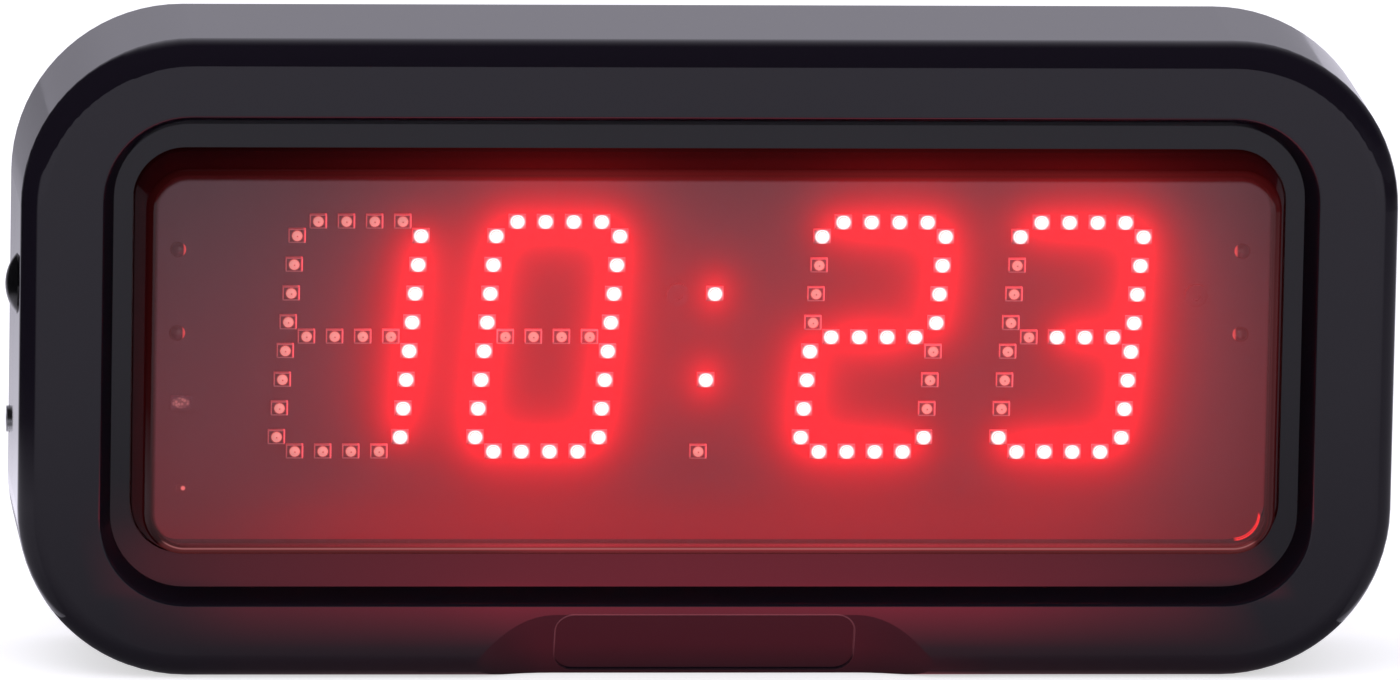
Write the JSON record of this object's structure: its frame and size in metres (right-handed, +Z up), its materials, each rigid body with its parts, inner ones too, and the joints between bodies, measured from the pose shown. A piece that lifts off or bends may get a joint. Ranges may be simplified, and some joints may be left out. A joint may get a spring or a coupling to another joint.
{
  "type": "digital outdoor clock",
  "caption": "Flat wall-mounted outdoor clock with a raised tinted window over slanted LED figures in a rounded black case.",
  "frame": {"origin": "centre of the four wall screws, in the wall plane, which is the bracket's back face", "axes": "+X to the viewer's right, -Y out of the wall towards the viewer, +Z up"},
  "size_m": [0.2854, 0.052, 0.1324],
  "materials": {
    "case": "gloss black moulded plastic",
    "shell": "gloss black moulded plastic",
    "button": "gloss black",
    "window": "clear tinted acrylic, dark red",
    "gasket": "matt foam rubber",
    "seal": "black rubber",
    "grommet": "black rubber",
    "steel": "zinc plated",
    "bracket": "zinc plated sheet",
    "lock": "stainless",
    "display_pcb": "dark solder mask",
    "pcb": "green solder mask",
    "package": "red lit LED package",
    "lens_on": "lit epoxy lens",
    "lens_off": "unlit epoxy lens",
    "black_part": "black moulding",
    "red_part": "red moulding",
    "pale_part": "off-white moulding",
    "green_part": "green moulding",
    "lead": "grey flat lead",
    "can": "bare can",
    "cell": "bright cell case"
  },
  "bodies": {
    "case": {"front_bezel": "case", "display_window": "window", "window_gasket": "gasket", "rear_shell": "shell", "housing_gasket": "gasket", "switch_body": "black_part", "switch_board": "pcb", "switch_screws": "steel", "switch_cable": "lead", "cable_connector": "pale_part", "display_board": "display_pcb", "leds_hour_tens": "package", "leds_hour_units": "package", "leds_minute_tens": "package", "leds_minute_units": "package", "leds_colon": "package", "lenses_lit": "lens_on", "lenses_unlit": "lens_off", "light_sensor": "black_part", "status_led": "pale_part", "board_pegs": "black_part", "board_screws": "steel", "driver_chips": "black_part", "board_socket": "black_part", "board_header": "black_part", "main_board": "pcb", "main_board_screws": "steel", "power_module": "black_part", "capacitors": "can", "inductor": "black_part", "microcontroller": "black_part", "cell_holder": "pale_part", "backup_cell": "cell", "terminal_block": "green_part", "terminal_screws": "steel", "fuse": "pale_part", "case_screws": "steel", "cable_grommet": "grommet", "wall_bracket": "bracket", "lock_screws": "lock"},
    "button": {"set_button": "button", "button_seal": "seal", "button_clip": "steel", "switch_plunger": "red_part"}
  },
  "joints": [
    {"name": "button_press", "type": "slide", "parent": "case", "child": "button", "axis": [1, 0, 0], "range_m": [0, 0.0008], "stiffness_N_per_m": 1500, "springref_m": -0.0008}
  ]
}
